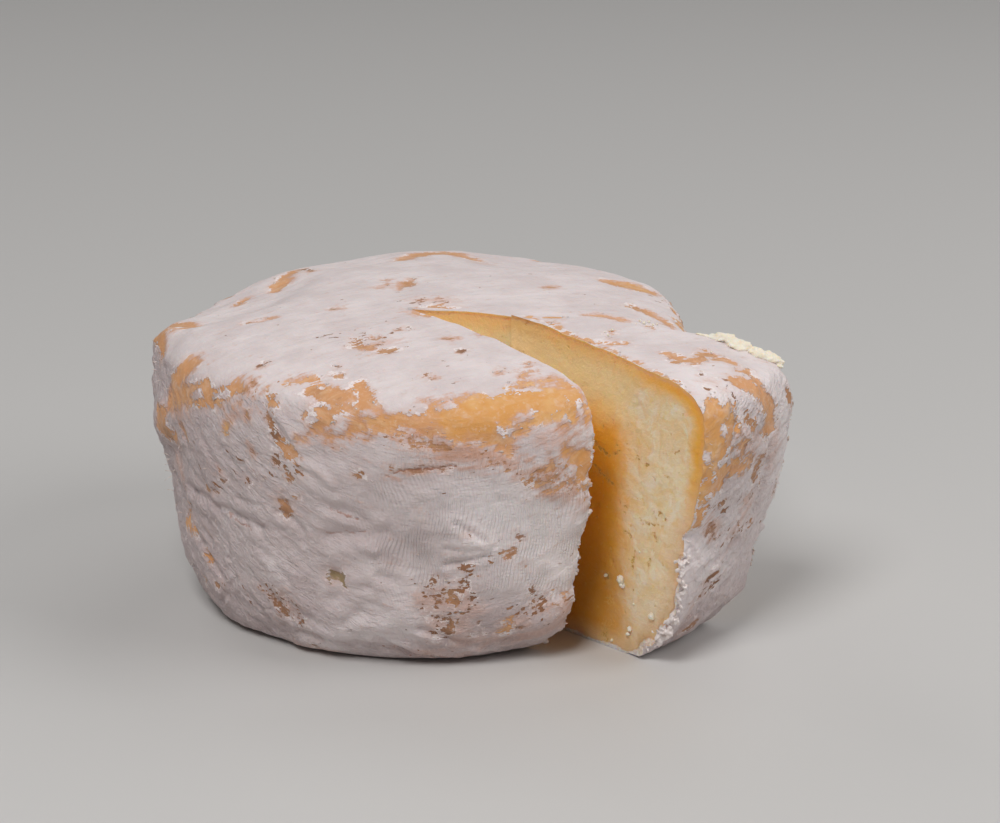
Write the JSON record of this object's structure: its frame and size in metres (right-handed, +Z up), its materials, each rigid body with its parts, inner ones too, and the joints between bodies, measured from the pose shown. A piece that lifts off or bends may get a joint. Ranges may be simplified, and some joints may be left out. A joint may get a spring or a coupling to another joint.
{
  "type": "brie",
  "caption": "Small tall brie wheel with a white bloomy rind, cut once, its wedge drawn part way out to show the creamy paste.",
  "frame": {"origin": "centre of the bounding box of wheel and drawn wedge, on the surface they stand on", "axes": "+Z up, through the flat top; +X towards the drawn wedge; -Y is the side that faces the viewer"},
  "size_m": [0.1188, 0.1026, 0.0587],
  "materials": {
    "bloomy_rind": "powdery white mould rind, with tan and orange bare patches",
    "soft_paste": "moist cream paste, deeper yellow under the rind"
  },
  "bodies": {
    "root": {"brie_wheel": "bloomy_rind", "brie_wedge": "soft_paste"}
  },
  "joints": []
}
